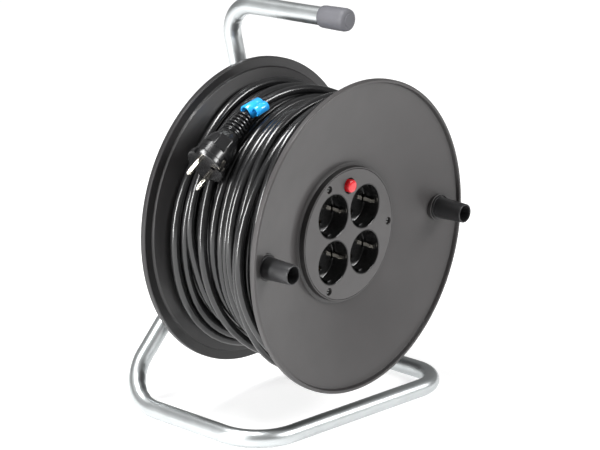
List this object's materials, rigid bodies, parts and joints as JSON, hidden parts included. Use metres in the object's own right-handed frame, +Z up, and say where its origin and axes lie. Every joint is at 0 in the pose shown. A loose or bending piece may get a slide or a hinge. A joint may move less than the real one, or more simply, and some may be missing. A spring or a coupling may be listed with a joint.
{
  "type": "extension cord reel",
  "caption": "Portable extension cord reel: a dished drum wound with flexible cord, turning on a bent tube stand, with earthed sockets, a reset button and winding pegs on its face.",
  "frame": {"origin": "middle of the footprint, on the surface the stand rests on", "axes": "+X right across the socket face, +Y rearward along the drum's axle, away from the sockets, +Z up"},
  "size_m": [0.285, 0.2144, 0.3783],
  "materials": {
    "galvanised_tube": "bright galvanised, drawn tube",
    "grey_rubber": "matt, soft touch",
    "black_plastic": "satin, moulded",
    "zinc_steel": "zinc plated",
    "natural_nylon": "natural, satin",
    "flange_plastic": "dark grey, fine grain",
    "plate_plastic": "dark grey, satin",
    "gloss_black": "gloss, moulded",
    "nickel": "nickel plated",
    "brass": "bare, stamped",
    "red_plastic": "gloss",
    "cord_rubber": "smooth flexible cord sheath, slight gloss",
    "plug_rubber": "moulded on, satin",
    "blue_plastic": "gloss, slightly translucent"
  },
  "bodies": {
    "stand": {"frame_tube": "galvanised_tube", "handle_cap": "grey_rubber", "foot_plug": "grey_rubber", "axle_spacer": "black_plastic", "saddle_washer": "zinc_steel", "thrust_washer": "natural_nylon", "axle_sleeve": "zinc_steel", "retaining_washer": "zinc_steel", "lock_nut": "zinc_steel", "axle_bolt": "zinc_steel"},
    "drum": {"rear_flange": "flange_plastic", "front_flange": "flange_plastic", "drum_core": "black_plastic", "tie_screw_1": "zinc_steel", "tie_screw_2": "zinc_steel", "tie_screw_3": "zinc_steel", "tie_screw_4": "zinc_steel", "socket_plate": "plate_plastic", "socket_insert_1": "gloss_black", "socket_insert_2": "gloss_black", "socket_insert_3": "gloss_black", "socket_insert_4": "gloss_black", "earth_strap_1": "nickel", "earth_strap_2": "nickel", "earth_strap_3": "nickel", "earth_strap_4": "nickel", "line_bus_bar": "brass", "neutral_bus_bar": "brass", "contact_housing": "black_plastic", "plate_screw_1": "zinc_steel", "plate_screw_2": "zinc_steel", "plate_screw_3": "zinc_steel", "thermal_cutout": "black_plastic", "button_spring": "zinc_steel", "peg_pin_left": "black_plastic", "peg_pin_right": "black_plastic", "cord_winding": "cord_rubber", "cord_tail": "cord_rubber", "inner_lead": "cord_rubber", "cord_grommet": "grey_rubber", "cord_clamp": "natural_nylon", "clamp_screw_1": "zinc_steel", "clamp_screw_2": "zinc_steel", "terminal_block": "natural_nylon", "plug_body": "plug_rubber", "plug_strain_relief": "plug_rubber", "plug_pin_1": "nickel", "plug_pin_2": "nickel", "plug_earth_contact_1": "nickel", "plug_earth_contact_2": "nickel", "plug_clip": "blue_plastic"},
    "left_peg": {"winding_peg_left": "black_plastic"},
    "right_peg": {"winding_peg_right": "black_plastic"},
    "button": {"reset_button": "red_plastic"}
  },
  "joints": [
    {"name": "drum_spin", "type": "hinge", "parent": "stand", "child": "drum", "pos_m": [0, -0.01617, 0.17397], "axis": [0, 1, 0], "continuous": true},
    {"name": "left_peg_spin", "type": "hinge", "parent": "drum", "child": "left_peg", "pos_m": [-0.1185, -0.09, 0.17397], "axis": [0, 1, 0], "continuous": true},
    {"name": "right_peg_spin", "type": "hinge", "parent": "drum", "child": "right_peg", "pos_m": [0.1185, -0.09, 0.17397], "axis": [0, 1, 0], "continuous": true},
    {"name": "reset_button_press", "type": "slide", "parent": "drum", "child": "button", "axis": [0, 1, 0], "range_m": [0, 0.0025], "stiffness_N_per_m": 600, "springref_m": -0.002, "deforming": ["button_spring"]}
  ]
}
